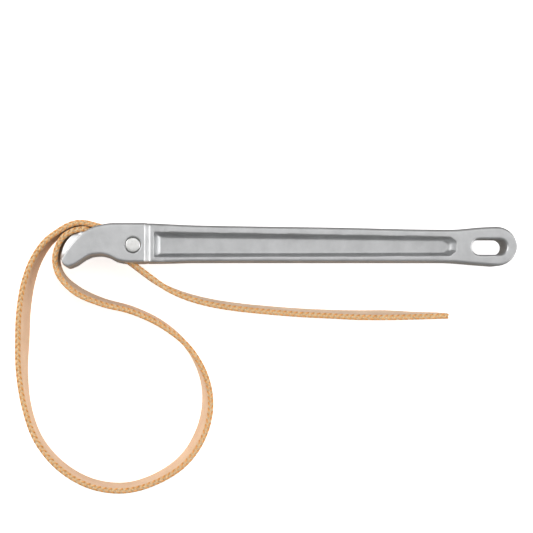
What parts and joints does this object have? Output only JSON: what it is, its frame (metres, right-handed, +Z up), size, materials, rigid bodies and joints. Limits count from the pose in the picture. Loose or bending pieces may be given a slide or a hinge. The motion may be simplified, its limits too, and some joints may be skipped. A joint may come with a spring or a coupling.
{
  "type": "strap wrench",
  "caption": "Strap wrench: a forked I-beam handle with a cross pin and a woven strap that loops round a pipe, wraps the beak and runs back through the fork.",
  "frame": {"origin": "on the pin's axis, at the pin's lower end, flush with the lower face of the head", "axes": "+X along the handle from the head to the hanging end, +Z up out of the side that the wrench lies on, +Y towards the back of the beak, away from the strap loop"},
  "size_m": [0.3288, 0.1793, 0.0375],
  "materials": {
    "cast_metal": "satin cast metal, faintly textured, bright along worn edges",
    "pin_steel": "bright turned steel end",
    "webbing": "thick tan and orange woven webbing, matte",
    "thread": "cream sewing thread"
  },
  "bodies": {
    "handle": {"handle": "cast_metal", "strap_pin": "pin_steel"},
    "loop": {"strap_eye": "webbing", "strap_loop": "webbing", "lap_seam_1": "thread", "lap_seam_2": "thread", "lap_seam_3": "thread"},
    "throat": {"strap_throat": "webbing"},
    "tail": {"strap_tail": "webbing"},
    "tail_tip": {"strap_tail_tip": "webbing"}
  },
  "joints": [
    {"name": "eye_swing", "type": "hinge", "parent": "handle", "child": "loop", "pos_m": [0, 0, 0.01875], "axis": [0, 0, 1], "range_deg": [-10, 0]},
    {"name": "tail_pull", "type": "slide", "parent": "handle", "child": "throat", "axis": [0.8, -0.6, 0], "range_m": [0, 0.025]},
    {"name": "tail_bend", "type": "hinge", "parent": "throat", "child": "tail", "pos_m": [0.012, -0.021, 0.01875], "axis": [0, 0, 1], "range_deg": [-30, 5]},
    {"name": "tail_curl", "type": "hinge", "parent": "tail", "child": "tail_tip", "pos_m": [0.109, -0.0435, 0.01875], "axis": [0, 0, 1], "range_deg": [-35, 5]}
  ]
}
